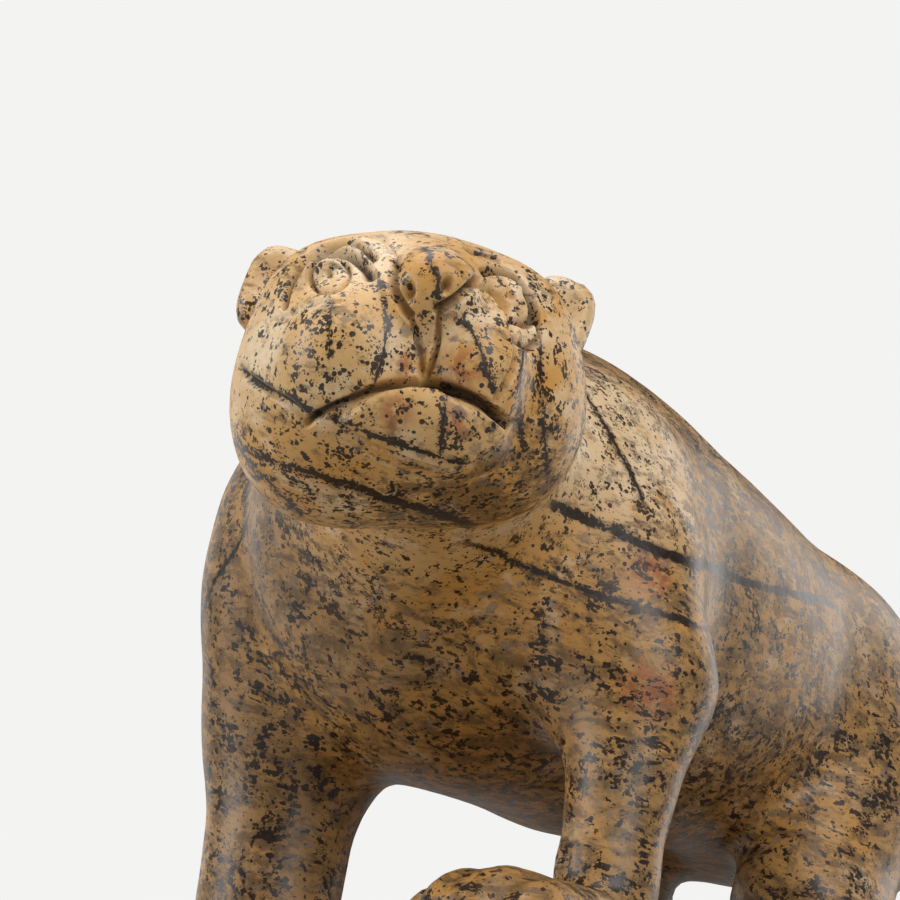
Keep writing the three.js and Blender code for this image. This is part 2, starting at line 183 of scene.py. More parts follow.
def drawn(points, p, q):
    """Distance in a plane to a line drawn through the points."""
    best = np.full(p.shape, 1e9)
    for (ap, aq), (bp, bq) in zip(points, points[1:]):
        wp, wq = bp - ap, bq - aq
        t = clip01(((p - ap) * wp + (q - aq) * wq) / (wp * wp + wq * wq))
        best = np.minimum(best, np.hypot(p - ap - t * wp, q - aq - t * wq))
    return best


def outside(points, p, q):
    """Distance in a plane outside a convex outline drawn clockwise."""
    most = np.full(p.shape, -1e9)
    for (ap, aq), (bp, bq) in zip(points, points[1:] + points[:1]):
        length = math.hypot(bp - ap, bq - aq)
        most = np.maximum(most, ((p - ap) * (aq - bq) + (q - aq) * (bp - ap)) / length)
    return most


def trunk():
    return blend(
        16,
        bead((-2, -25, 106.5), (33, 32, 37)),
        bead((0, -6, 126), (20, 28, 23)),
        bead((-1, 14, 106), (35, 46, 40)),
        bead((0, 54, 103.5), (32, 44, 35.5)),
        bead((0, 88, 97), (30, 33, 33)),
    )


def tail():
    root = limb((0, 102, 114), (0, 115, 99), 11, 8.5)
    middle = limb((0, 115, 99), (1, 118, 60), 8.5, 7.5)
    lower = limb((1, 118, 60), (5, 113, 28), 7.5, 7)
    tip = limb((5, 113, 28), (16, 101, 16), 7, 6.5)
    return near((4, 110, 62), 62, blend(6, root, middle, lower, tip))


def paw(x, y, z, half_length):
    """An oval with three cuts between the toes."""
    sole = bead((x, y, z + 7.5), (13, half_length, 10.5), (3, 0, 0))
    ball = bead((x, y - half_length + 13, z + 8.5), (13, 12, 10))
    pad = blend(3, sole, ball)

    def distance(px, py, pz):
        toes = np.minimum(np.minimum(np.abs(px - x - 6.4), np.abs(px - x)), np.abs(px - x + 6.4))
        return pad(px, py, pz) + clip01((y - 5 - py) / 8) * cut(toes, 1.9, 1.7)

    return near((x, y, z + 8), half_length + 2, distance)


def right_foreleg():
    shoulder = bead((-34, -26, 105), (15, 21.5, 33))
    upper = limb((-35, -24, 100), (-36, -25, 80), 14, 13.5)
    lower = limb((-36, -26, 80), (RIGHT_FORE_X, FORE_Y, 32), 13.5, 11)
    wrist = limb((RIGHT_FORE_X, FORE_Y, 32), (RIGHT_FORE_X, FORE_Y - 2, 20), 11, 11.5)
    foot = paw(RIGHT_FORE_X, FORE_Y - 12, ROCK_HEIGHT, 21)
    return near((-35, -34, 72), 76, blend(8, blend(12, shoulder, upper), lower, wrist, foot))


def left_foreleg():
    sole = ROCK_HEIGHT + RAISED_PAW
    shoulder = bead((25.5, -22, 102), (12, 20, 31), (-14, 0, 0))
    upper = limb((28, -24, 100), (LEFT_FORE_X, -25, 80), 14, 10.5)
    bend = (LEFT_FORE_X, FORE_Y, sole + 20)
    lower = limb((LEFT_FORE_X + 1, -26, 80), bend, 10.5, 6.8)
    wrist = limb(bend, (LEFT_FORE_X - 0.5, FORE_Y - 2, sole + 8), 6.8, 7)
    arm = blend(8, shoulder, upper, lower)
    return near((30, -40, 78), 72, blend(4, arm, wrist, paw(LEFT_FORE_X, FORE_Y - 20, sole, 23.5)))


def left_hind_leg():
    thigh = bead((20, 86, 92), (16, 29, 33), (16, 0, 0))
    knee = limb((22, 76, 78), (24, 49, 54), 18, 13)
    shin = limb((25, 50, 50), (27, 82, 36), 11, 8.5)
    foot = limb((27, 82, 36), (27, 74, 20), 8.5, 8.5)
    return near((22, 76, 66), 68, blend(8, thigh, knee, shin, foot, paw(27, 62, ROCK_HEIGHT, 21)))


def right_hind_leg():
    thigh = bead((-20, 92, 97), (15, 25, 27))
    knee = limb((-24, 84, 84), (-26, 66, 67), 15, 8.5)
    shin = limb((-26, 66, 65), (-28, 98, 38), 8.5, 8)
    foot = limb((-28, 98, 38), (-28, 94, 22), 8, 8.5)
    return near((-23, 86, 66), 66, blend(8, thigh, knee, shin, foot, paw(-28, 84, ROCK_HEIGHT, 20)))


# The face's lines are drawn on a plane that faces ahead and down: p to the cat's left, q up.
# Each cut has a half width, a depth, and the points that its line runs through.
FRONT_CUTS = (
    # Mouth, right half and left half
    (
        0.85,
        2,
        ((-12.7, -7.1), (-10.7, -5.4), (-7.5, -3.5), (-5.2, -2), (-2.4, -0.7), (0, -0.2), (1.4, 0)),
    ),
    (1.15, 2.6, ((1.4, 0), (4, -0.3), (6.6, -1), (9.7, -2.2), (12.4, -4.1))),
    # Right cheek
    (0.8, 0.7, ((-22.6, -1.7), (-18.5, -3.7), (-15.1, -5), (-12.7, -7))),
    # Nose, right edge and left edge
    (0.85, 1.5, ((-4.2, 15), (-4.4, 13), (-3.8, 10.8), (-2.3, 8.8), (-1.4, 8))),
    (1, 2, ((6.8, 14), (6, 13), (4.2, 10.9), (2, 9.2))),
    # The two grooves from the nose to the mouth
    (0.6, 0.9, ((-1.4, 8), (-0.4, 6), (0.5, 3.5), (1, 0.8))),
    (0.65, 1.1, ((2.1, 9.1), (2.3, 6.3), (2.1, 3.6), (1.5, 0.8))),
    # Right eye: the lid's edge, and the hollow under it
    (0.75, 1.5, ((-18, 7.6), (-17.7, 10.7), (-15.9, 14.3), (-12.7, 17), (-9.6, 17.4), (-7, 15.4))),
    (1.1, 1.8, ((-14.8, 14.9), (-12.6, 16), (-10.2, 15.6), (-8.2, 14.2), (-7.2, 12.8))),
    # Outer edge of the left lip pad
    (
        0.9,
        0.9,
        ((7, 13.6), (8.9, 13.2), (11.2, 11), (12.5, 7.3), (12.8, 4.3), (11.8, 1.1), (10.8, -1.3)),
    ),
    # Fine strokes beside the eyes and under the lip
    (0.4, 0.35, ((-19.5, 5.5), (-16.5, 6.6), (-13.5, 8.2), (-10.5, 8.6))),
    (0.4, 0.3, ((-8.6, 18.8), (-5.6, 17.6), (-4.2, 15.6))),
    (0.45, 0.35, ((-9.5, -8.2), (-5, -10), (-1, -11.4), (3, -12.6))),
)

# The left eye's lines, drawn from this much further round to its side, and only left of this x
LEFT_EYE_TURN = math.radians(35)
LEFT_EYE_FROM = 3
LEFT_EYE_CUTS = (
    # Brow, lid, outer corner, under the eyeball, and under the bag
    (0.6, 1.7, ((-6.6, 18), (-4.2, 18.7), (-1.8, 19))),
    (0.75, 2, ((-5.9, 15.6), (-3, 17), (-0.6, 17.2), (1.2, 15.9), (2.6, 13.6), (2.9, 11.2))),
    (1, 2.8, ((0.9, 15.4), (1.8, 14), (2, 12.8))),
    (0.8, 1.4, ((-4.5, 13.8), (-3.8, 12), (-1.4, 11.1), (0.9, 11.6), (2.2, 12.8))),
    (0.7, 1.3, ((-4.3, 10), (-3.2, 8.4), (-0.6, 7.9), (1.8, 8.9), (3, 10.8))),
)

# Pits: middle, half sizes and depth
RIGHT_PUPIL = (-12.6, 12.5, 0.9, 0.9, 0.8)
LEFT_PUPIL = (-1.8, 14.2, 1, 1, 0.6)
NOSTRILS = ((-2, 11, 1.1, 2.1, 1.3), (2.6, 12.5, 1, 1.7, 1.5))

# The ring drilled round the right pupil: radius, then half width and depth of its cut
EYE_RING = 2.6
EYE_RING_CUT = (0.6, 1)

# The lower lip, a raised leaf drawn clockwise, the slope at its edge, and the cut just outside it
LIP_RISE = 1.3
LIP_SLOPE = 0.8
LIP_CUT_OFF = 0.6
LIP_CUT = (0.8, 0.6)
LOWER_LIP = [
    (-8.5, -6.1), (-5.8, -3.5), (-3.1, -1.9), (-0.2, -1.3), (3.1, -1.1), (7.5, -2.4),
    (12.2, -4.2), (10.9, -6.6), (8.6, -8.9), (5.2, -10), (0.8, -9.2), (-4, -8),
]  # fmt: skip


def rounded(points):
    """A line of points rounded off to a curve that passes through them all."""
    ends = [points[0], *points, points[-1]]
    curve = [points[0]]
    for before, start, end, after in zip(ends, ends[1:], ends[2:], ends[3:]):
        for t in (1 / 3, 2 / 3, 1):
            weights = (
                (-t + 2 * t**2 - t**3) / 2,
                (2 - 5 * t**2 + 3 * t**3) / 2,
                (t + 4 * t**2 - 3 * t**3) / 2,
                (t**3 - t**2) / 2,
            )
            near_by = (before, start, end, after)
            place = (sum(w * point[n] for w, point in zip(weights, near_by)) for n in (0, 1))
            curve.append(tuple(place))
    return curve


def face_height(y, z):
    """Height on the plane that faces ahead and down."""
    return z * math.cos(FACE_TILT) - y * math.sin(FACE_TILT)


def over_face(y):
    """1 over the face, and 0 from its sides back, where its lines end."""
    return clip01((-y - 4) / 6)


def deepest(cuts, p, q):
    depths = [cut(drawn(rounded(line), p, q), half, depth) for half, depth, line in cuts]
    return np.maximum.reduce(depths)


def pit(spot, p, q):
    p0, q0, rp, rq, depth = spot
    return cut(np.hypot((p - p0) / rp, (q - q0) / rq), 1, depth)


def face_cuts(x, y, z):
    """How far the cut lines of the face push its surface in."""
    q = face_height(y, z)
    ring = np.abs(np.hypot(x - RIGHT_PUPIL[0], q - RIGHT_PUPIL[1]) - EYE_RING)
    c, s = math.cos(LEFT_EYE_TURN), math.sin(LEFT_EYE_TURN)
    side_p, side_q = x * c + y * s, face_height(y * c - x * s, z)
    beside = np.maximum(deepest(LEFT_EYE_CUTS, side_p, side_q), pit(LEFT_PUPIL, side_p, side_q))
    cuts = [
        deepest(FRONT_CUTS, x, q),
        cut(np.abs(outside(LOWER_LIP, x, q) - LIP_CUT_OFF), *LIP_CUT),
        cut(ring, *EYE_RING_CUT),
        pit(RIGHT_PUPIL, x, q),
        pit(NOSTRILS[0], x, q),
        pit(NOSTRILS[1], x, q),
        np.where(x < LEFT_EYE_FROM, 0, beside),
    ]
    return over_face(y) * np.maximum.reduce(cuts)


def lower_lip(x, y, z):
    """How far the lower lip stands out."""
    lip = outside(LOWER_LIP, x, face_height(y, z))
    return over_face(y) * LIP_RISE * clip01(0.5 - lip / LIP_SLOPE)


def plate(rx, ry, rz):
    """A plate across x and z with rounded corners."""

    def distance(x, y, z):
        across = (np.abs(x / rx) ** 3 + np.abs(z / rz) ** 3) ** (1 / 3)
        return (np.hypot(across, y / ry) - 1) * ry

    return distance


def ear(side):
    height = 16.8 if side > 0 else 15.6
    turn = (0, 14 if side > 0 else 10, 0)
    flap = placed((20.6 * side, 8, height), turn, plate(5.3, 3.6, 7.6))
    hollow = bead((21.6 * side, 3.6, height + 0.4), (3.6, 2.8, 5.4), turn)
    return carve(0.8, flap, hollow)


def head():
    mass = blend(
        7,
        bead((0, 0, 1.5), (21.5, 21, 17.5)),
        bead((-11, -7, 6.5), (9, 9, 7.6)),
        bead((11, -7, 6.5), (9, 9, 7.6)),
        bead((-11, -1, -6.8), (13, 17, 14.5)),
        bead((11.5, -1, -5), (13, 17, 13.6)),
        bead((-3, -5, -12.8), (15, 16, 8.5)),
        limb((0, -17, 0), (0, -6, 7), 8, 9),
    )
    right_pad = bead((-8.4, -18, -7.4), (8.6, 9, 9.6))
    left_pad = bead((7.6, -18, -7.2), (7.4, 9, 9.6))
    nose = limb((1.4, -24.6, 0.6), (0.8, -13, 8), 5.5, 6)
    chin = bead((1.5, -15.5, -15), (11.5, 9, 5.4), (0, 4, 0))
    muzzle = blend(2.5, blend(5, mass, right_pad), left_pad, chin, nose)
    right_eye = bead((-12.4, -15, 5.9), (4.2, 4.4, 3.9))
    left_eye = bead((11.6, -14.8, 4.8), (4, 4.4, 3.6))
    left_underlid = bead((14.2, -15.5, -0.2), (3, 3, 1.9))
    face = blend(1, muzzle, right_eye, left_eye, left_underlid)
    return near((0, 0, 0), 36, blend(2, face, ear(-1), ear(1)))


def rock():
    def step(x, y, z):
        across = ((x - LEFT_FORE_X) / 21) ** 4
        along = ((y + 52 - CAT_SHIFT_Y) / 34) ** 4
        up = ((z - 6) / 25) ** 4
        return ((across + along + up) ** 0.25 - 1) * 20

    def distance(x, y, z):
        side = (np.abs(x / ROCK_HALF_WIDTH) ** 3 + np.abs(y / ROCK_HALF_LENGTH) ** 3) ** (1 / 3)
        top = ROCK_HEIGHT + 0.9 * np.sin(x / 8 + 1) * np.sin(y / 11)
        slab = -join(-(side - 1) * 45, -(z - top), 7)
        return np.maximum(join(slab, step(x, y, z), 8), -z)

    return distance


def stone_form():
    trunk_form = trunk()
    neck = limb((2, -38, 114), (22, -64, 113), 28, 19)
    shoulders = blend(10, blend(12, trunk_form, neck), left_foreleg(), right_foreleg())
    hips = blend(10, trunk_form, left_hind_leg(), right_hind_leg())
    body = blend(5, shoulders, hips, tail())
    cat = blend(4, body, placed(HEAD_CENTRE, HEAD_TURN, head()))
    ground = rock()
    return lambda x, y, z: join(cat(x, y - CAT_SHIFT_Y, z), ground(x, y, z), 3)


def on_head(points):
    """Points in the head's own frame: x to the cat's left, -y ahead, z up."""
    x, y, z = points.T
    return np.stack(into(HEAD_CENTRE, HEAD_TURN, x, y - CAT_SHIFT_Y, z), axis=1)


# Meshes: their points are worked on in millimetres

DEEP_CUT = 1.6
LONGEST_MOVE = 1.2
LEAST_SLOPE = 0.25
UNDERSIDE = 0.3


def mesh_points(mesh):
    flat = np.empty(len(mesh.vertices) * 3)
    mesh.vertices.foreach_get("co", flat)
    return flat.reshape(-1, 3) / MM


def set_mesh_points(mesh, points):
    mesh.vertices.foreach_set("co", (points * MM).ravel())
    mesh.update()


def slope_of(form, points):
    """The form's distance and its slope at the points."""
    step = 0.05
    x, y, z = points.T
    d = form(x, y, z)
    ahead = (form(x + step, y, z), form(x, y + step, z), form(x, y, z + step))
    return d, (np.stack(ahead, axis=1) - d[:, None]) / step


def averaging(mesh):
    """A function that gives each point the mean of its neighbours' values."""
    edges = np.empty(len(mesh.edges) * 2, dtype=np.int64)
    mesh.edges.foreach_get("vertices", edges)
    ends = edges.reshape(-1, 2)
    here, there = np.concatenate([ends, ends[:, ::-1]]).T
    total = len(mesh.vertices)
    count = np.maximum(np.bincount(here, minlength=total), 1)

    def mean(values):
        sums = [np.bincount(here, weights=values[there, n], minlength=total) for n in range(3)]
        return np.stack(sums, axis=1) / count[:, None]

    return mean


def settle(mesh, form, rounds, even=0.5):
    """Moves each point of the mesh down the slope of the distance onto the carved form,
    and along the surface towards the middle of its neighbours."""
    points = mesh_points(mesh)
    mean = averaging(mesh)
    for _ in range(rounds):
        d, slope = slope_of(form, points)
        steep = np.maximum((slope**2).sum(1), LEAST_SLOPE)
        move = -(d / steep)[:, None] * slope
        length = np.linalg.norm(move, axis=1)
        move *= np.minimum(1, LONGEST_MOVE / np.maximum(length, 1e-9))[:, None]
        slide = mean(points) - points
        facing = slope / np.sqrt(steep)[:, None]
        slide -= (slide * facing).sum(1)[:, None] * facing
        slide[points[:, 2] < UNDERSIDE] = 0
        points = points + move + slide * even
    set_mesh_points(mesh, points)


def press_lines(mesh, form):
    """Presses the face's cut lines in, raises the lower lip, and returns each point's depth."""
    points = mesh_points(mesh)
    _, facing = slope_of(form, points)
    mean = averaging(mesh)
    for _ in range(3):
        facing = facing + mean(facing)
    facing /= np.maximum(np.linalg.norm(facing, axis=1), 1e-9)[:, None]
    local = on_head(points)
    close = np.linalg.norm(local, axis=1) < HEAD_REACH
    depth, rise = np.zeros(len(points)), np.zeros(len(points))
    depth[close] = face_cuts(*local[close].T)
    rise[close] = lower_lip(*local[close].T)
    set_mesh_points(mesh, points + (rise - depth)[:, None] * facing)
    return depth


def evaluated_copy(obj, name):
    """The object's mesh with its modifiers worked out, as a plain mesh."""
    depsgraph = bpy.context.evaluated_depsgraph_get()
    mesh = bpy.data.meshes.new_from_object(obj.evaluated_get(depsgraph), depsgraph=depsgraph)
    mesh.name = name
    return mesh


def remeshed(node, voxel):
    """An even mesh over a CAD node."""
    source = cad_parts[node]
    mesh = source.data.copy()
    bm = bmesh.new()
    bm.from_mesh(mesh)
    bmesh.ops.remove_doubles(bm, verts=bm.verts, dist=1e-6)
    bm.to_mesh(mesh)
    bm.free()
    rough = bpy.data.objects.new("rough", mesh)
    bpy.context.scene.collection.objects.link(rough)
    even = rough.modifiers.new("even", "REMESH")
    even.mode = "VOXEL"
    even.voxel_size = voxel
    even.use_smooth_shade = True
    result = evaluated_copy(rough, "cat surface")
    bpy.data.objects.remove(rough)
    return result


def divide(mesh, chosen):
    """Halves the edges of the faces whose centres, in millimetres, are chosen."""
    bm = bmesh.new()
    bm.from_mesh(mesh)
    centres = np.array([tuple(face.calc_center_median()) for face in bm.faces]) / MM
    picked = chosen(centres)
    bm.faces.ensure_lookup_table()
    edges = {edge for face, pick in zip(bm.faces, picked) if pick for edge in face.edges}
    bmesh.ops.subdivide_edges(bm, edges=list(edges), cuts=1, use_grid_fill=True)
    bm.to_mesh(mesh)
    bm.free()


def around_head(centres):
    return np.linalg.norm(on_head(centres), axis=1) < HEAD_REACH - 1


def on_face(centres):
    local = on_head(centres)
    return (np.linalg.norm(local, axis=1) < HEAD_REACH) & (local[:, 1] < FACE_BACK)


def beside_cuts(centres):
    """Which places lie in a cut line of the face or next to one."""
    reach, least = 0.35, 0.15
    chosen = on_face(centres)
    x, y, z = on_head(centres)[chosen].T
    around = [(0, 0), (reach, 0), (-reach, 0), (0, reach), (0, -reach)]
    depths = [face_cuts(x + dx, y, z + dz) for dx, dz in around]
    chosen[chosen] = np.maximum.reduce(depths) > least
    return chosen


def room_to_wave(points):
    """1 where the surface may wave, less on the head, and 0 near the sides of the CAD box."""
    x, y, z = np.abs(points.T)
    wavy = clip01((56 - x) / 5) * clip01((117.5 - y) / 5)
    wavy = wavy * clip01(z / 4) * clip01((149 - z) / 4)
    wavy *= np.where(np.linalg.norm(on_head(points), axis=1) < HEAD_REACH + 2, 0.3, 1)
    return wavy


def store(mesh, name, values):
    layer = mesh.attributes.new(name, "FLOAT", "POINT")
    layer.data.foreach_set("value", np.asarray(values, dtype=np.float32))


# Geometry Nodes: the slight waviness that hand grinding leaves


def waviness_tree(material):
    tree = bpy.data.node_groups.new("Hand-ground waviness", "GeometryNodeTree")
    face = tree.interface
    face.new_socket("Geometry", in_out="INPUT", socket_type="NodeSocketGeometry")
    for name, value in WAVES.items():
        entry = face.new_socket(name, in_out="INPUT", socket_type="NodeSocketFloat")
        entry.default_value = value
        entry.subtype = "DISTANCE"
    face.new_socket("Geometry", in_out="OUTPUT", socket_type="NodeSocketGeometry")
    make, link = tree.nodes.new, tree.links.new
    given, result = make("NodeGroupInput"), make("NodeGroupOutput")
    place, normal = make("GeometryNodeInputPosition"), make("GeometryNodeInputNormal")
    keep = make("GeometryNodeInputNamedAttribute")
    keep.data_type = "FLOAT"
    keep.inputs["Name"].default_value = "wavy"
    inverse, noise = make("ShaderNodeMath"), make("ShaderNodeTexNoise")
    inverse.operation = "DIVIDE"
    inverse.inputs[0].default_value = 1
    link(given.outputs["Spacing"], inverse.inputs[1])
    link(place.outputs[0], noise.inputs["Vector"])
    link(inverse.outputs[0], noise.inputs["Scale"])
    noise.inputs["Detail"].default_value = 1.5
    level, height, masked = (make("ShaderNodeMath") for _ in range(3))
    offset = make("ShaderNodeVectorMath")
    level.operation = "SUBTRACT"
    level.inputs[1].default_value = 0.5
    link(noise.outputs["Fac"], level.inputs[0])
    for product, a, b in (
        (height, level.outputs[0], given.outputs["Height"]),
        (masked, height.outputs[0], keep.outputs["Attribute"]),
    ):
        product.operation = "MULTIPLY"
        link(a, product.inputs[0])
        link(b, product.inputs[1])
    offset.operation = "SCALE"
    link(normal.outputs[0], offset.inputs[0])
    link(masked.outputs[0], offset.inputs["Scale"])
    push, real = make("GeometryNodeSetPosition"), make("GeometryNodeRealizeInstances")
    finish = make("GeometryNodeSetMaterial")
    finish.inputs["Material"].default_value = material
    link(given.outputs["Geometry"], push.inputs["Geometry"])
    link(offset.outputs[0], push.inputs["Offset"])
    link(push.outputs[0], real.inputs[0])
    link(real.outputs[0], finish.inputs["Geometry"])
    link(finish.outputs[0], result.inputs[0])
    return tree


def give_waviness(obj, tree, **sizes):
    """Runs the tree on the object with its named sizes, and keeps the plain result."""
    wavy = obj.modifiers.new("waviness", "NODES")
    wavy.node_group = tree
    for entry in tree.interface.items_tree:
        if entry.in_out == "INPUT" and entry.name in sizes:
            wavy[entry.identifier] = sizes[entry.name]
    mesh = evaluated_copy(obj, obj.data.name)
    obj.modifiers.remove(wavy)
    old = obj.data
    obj.data = mesh
    bpy.data.meshes.remove(old)


# Shader maths


class Wire:
    """A socket that can be added, multiplied and compared as a number."""

    def __init__(self, board, socket):
        self.board = board
        self.socket = socket

    def maths(self, operation, *others, swap=False):
        terms = (*others, self) if swap else (self, *others)
        node = self.board.node("ShaderNodeMath", {"operation": operation}, *terms)
        return Wire(self.board, node.outputs[0])

    def __add__(self, other):
        return self.maths("ADD", other)

    __radd__ = __add__

    def __sub__(self, other):
        return self.maths("SUBTRACT", other)

    def __rsub__(self, other):
        return self.maths("SUBTRACT", other, swap=True)

    def __mul__(self, other):
        return self.maths("MULTIPLY", other)

    __rmul__ = __mul__

    def __abs__(self):
        return self.maths("ABSOLUTE")

    def top(self, other):
        return self.maths("MAXIMUM", other)

    def low(self, other):
        return self.maths("MINIMUM", other)

    def times_plus(self, factor, other):
        return self.maths("MULTIPLY_ADD", factor, other)

    def smooth(self, start, end, before=0, after=1):
        """One value before start, another after end, and a smooth way between them."""
        settings = {"interpolation_type": "SMOOTHSTEP"}
        node = self.board.node("ShaderNodeMapRange", settings, self, start, end, before, after)
        return Wire(self.board, node.outputs[0])


class Board:
    """A material's node tree, with one way to add each kind of node."""

    def __init__(self, name):
        self.material = bpy.data.materials.new(name)
        self.material.use_nodes = True
        self.tree = self.material.node_tree
        self.shader = self.tree.nodes["Principled BSDF"]

    def node(self, kind, settings, *ordered, **named):
        node = self.tree.nodes.new(kind)
        for name, value in settings.items():
            setattr(node, name, value)
        entries = [s for s in node.inputs if s.enabled]
        for place, value in [*enumerate(ordered), *named.items()]:
            if isinstance(place, int):
                entry = entries[place]
            else:
                entry = next(s for s in entries if s.name == place.replace("_", " "))
            self.feed(entry, value)
        return node

    def feed(self, entry, value):
        if isinstance(value, Wire):
            self.tree.links.new(value.socket, entry)
        elif entry.type == "RGBA" and len(value) == 3:
            entry.default_value = (*value, 1)
        else:
            entry.default_value = value

    def vector(self, operation, *terms, out=0, **named):
        node = self.node("ShaderNodeVectorMath", {"operation": operation}, *terms, **named)
        return Wire(self, node.outputs[out])

    def noise(self, at, size, detail=2.0, rough=0.5, colour=False, shift=0.0):
        if shift:
            at = self.vector("ADD", at, (shift, shift * 0.7, -shift))
        values = {"Vector": at, "Scale": 1 / size, "Detail": detail, "Roughness": rough}
        node = self.node("ShaderNodeTexNoise", {}, **values)
        return Wire(self, node.outputs["Color" if colour else "Fac"])

    def cells(self, at, size):
        """Distance to the nearest cell point, in cell sizes, and two random numbers of the cell."""
        node = self.node("ShaderNodeTexVoronoi", {}, Vector=at, Scale=1 / size)
        apart = self.node("ShaderNodeSeparateColor", {}, Wire(self, node.outputs["Color"]))
        chances = (Wire(self, apart.outputs[n]) for n in (0, 1))
        return Wire(self, node.outputs["Distance"]), *chances

    def joined(self, value):
        """The same number three times over."""
        return Wire(self, self.node("ShaderNodeCombineXYZ", {}, value, value, value).outputs[0])

    def mix(self, factor, a, b):
        node = self.node("ShaderNodeMix", {"data_type": "RGBA"}, factor, a, b)
        return Wire(self, next(s for s in node.outputs if s.enabled))

    def stirred(self, at, size, reach, detail=1.0, shift=0.0):
        """The place moved about by noise."""
        noise = self.noise(at, size, detail, colour=True, shift=shift)
        centred = self.vector("SUBTRACT", noise, (0.5, 0.5, 0.5))
        return self.vector("MULTIPLY_ADD", centred, (reach * 2,) * 3, at)


# Stone: ochre ground, cream clouds, black branching blots, and dark veins in flat seams

# Each vein: the way its seam faces, its offset in mm, its width, and the ball of stone it runs in
VEINS = (
    # Right cheek
    ((-0.632, -0.134, -0.764), -80.2, 1, (21, -113, 107), 5.5),
    ((-0.553, -0.027, -0.833), -97.7, 0.7, (28, -114, 102), 5.5),
    # Right lip pad
    ((-0.829, -0.536, -0.162), 7.3, 0.45, (42, -112, 113), 4.5),
    ((-0.727, -0.659, 0.194), 64.5, 0.5, (42, -113, 106), 4.5),
    ((-0.74, -0.663, 0.112), 62.4, 0.15, (37, -117, 109), 4.5),
    # Nose
    ((-0.852, -0.432, -0.296), -27.8, 0.55, (47, -110, 118), 5),
    ((-0.772, -0.623, 0.126), 45.6, 0.55, (49, -111, 113), 2.5),
    # Left lip pad
    ((-0.838, -0.342, -0.426), -52.4, 0.35, (51, -106, 108), 3.3),
    ((-0.853, -0.397, -0.339), -38.2, 0.4, (52, -104, 104), 3.3),
    # Left cheek
    ((-0.85, -0.526, -0.006), 2.9, 0.35, (51, -88, 104), 9.5),
    ((-0.844, -0.537, -0.009), 6.9, 0.3, (51, -95, 104), 7),
    # Lower lip
    ((-0.489, 0.045, -0.871), -107.7, 0.3, (37, -112, 97), 3.8),
    ((-0.455, 0.079, -0.887), -111.7, 0.5, (43, -106, 95), 6.5),
    ((-0.777, -0.614, 0.141), 42.4, 0.5, (47, -106, 97), 3.8),
    # Jaw
    ((-0.464, 0.029, -0.885), -98.8, 0.5, (19, -108, 98), 8),
    ((-0.39, 0.104, -0.915), -107.9, 0.6, (28, -106, 94), 4.5),
    ((-0.445, 0.051, -0.894), -102.1, 1.1, (31, -90, 94), 14),
    ((-0.689, -0.285, -0.666), -45.9, 0.25, (17, -104, 96), 7),
    # Neck, shoulder and flank
    ((-0.857, -0.309, -0.412), -65, 0.5, (35, -42, 117), 12),
    ((-0.477, 0.055, -0.877), -108.5, 1.6, (37, -44, 101), 16),
    ((-0.423, 0.091, -0.902), -109.8, 1.5, (38, 2, 104), 42),
    ((-0.434, 0.05, -0.9), -99.8, 0.7, (32, -50, 92), 22),
    # The sides that the photograph does not show
    ((-0.35, -0.2, -0.91), -96, 1.2, (-30, 40, 105), 45),
    ((0.5, -0.3, -0.81), -86, 0.9, (-20, -40, 110), 40),
    ((-0.2, 0.7, -0.68), -6, 1, (20, 85, 90), 45),
)
RED_PATCHES = (
    ((50, -106, 104), 2.2),
    ((43, -111, 98), 2),
    ((49, -106, 97), 2),
    ((43, -110, 105), 1.4),
    ((40, -41, 95), 3.5),
    ((40, -43, 76), 4),
    ((-36, 60, 100), 9),
    ((10, 100, 80), 9),
)
# Cream patches of the stone; the last, on the neck beside the head, is a painted pool of light
CREAM_AND_LIGHT_PATCHES = (
    ((23, -113, 111), 6),
    ((35, -109, 122), 7),
    ((51, -94, 117), 7),
    ((28, -80, 132), 22),
    # Neck beside the head: a painted pool of light
    ((36, -40, 120), 20),
)
DARK_PATCHES = (((41, -88, 93), 12), ((34, -93, 92), 9), ((48, -96, 96), 5))
CROWDED = (
    ((36, -116, 107), 8),
    ((24, -106, 97), 9),
    ((50, -92, 100), 10),
    ((47, -106, 97), 3),
    ((51, -104, 111), 4),
    # Ears: dots crowded into the hollows, partly the stone's own dots and partly painted shade
    ((8, -96, 129), 7),
    ((40, -70, 130), 7),
)


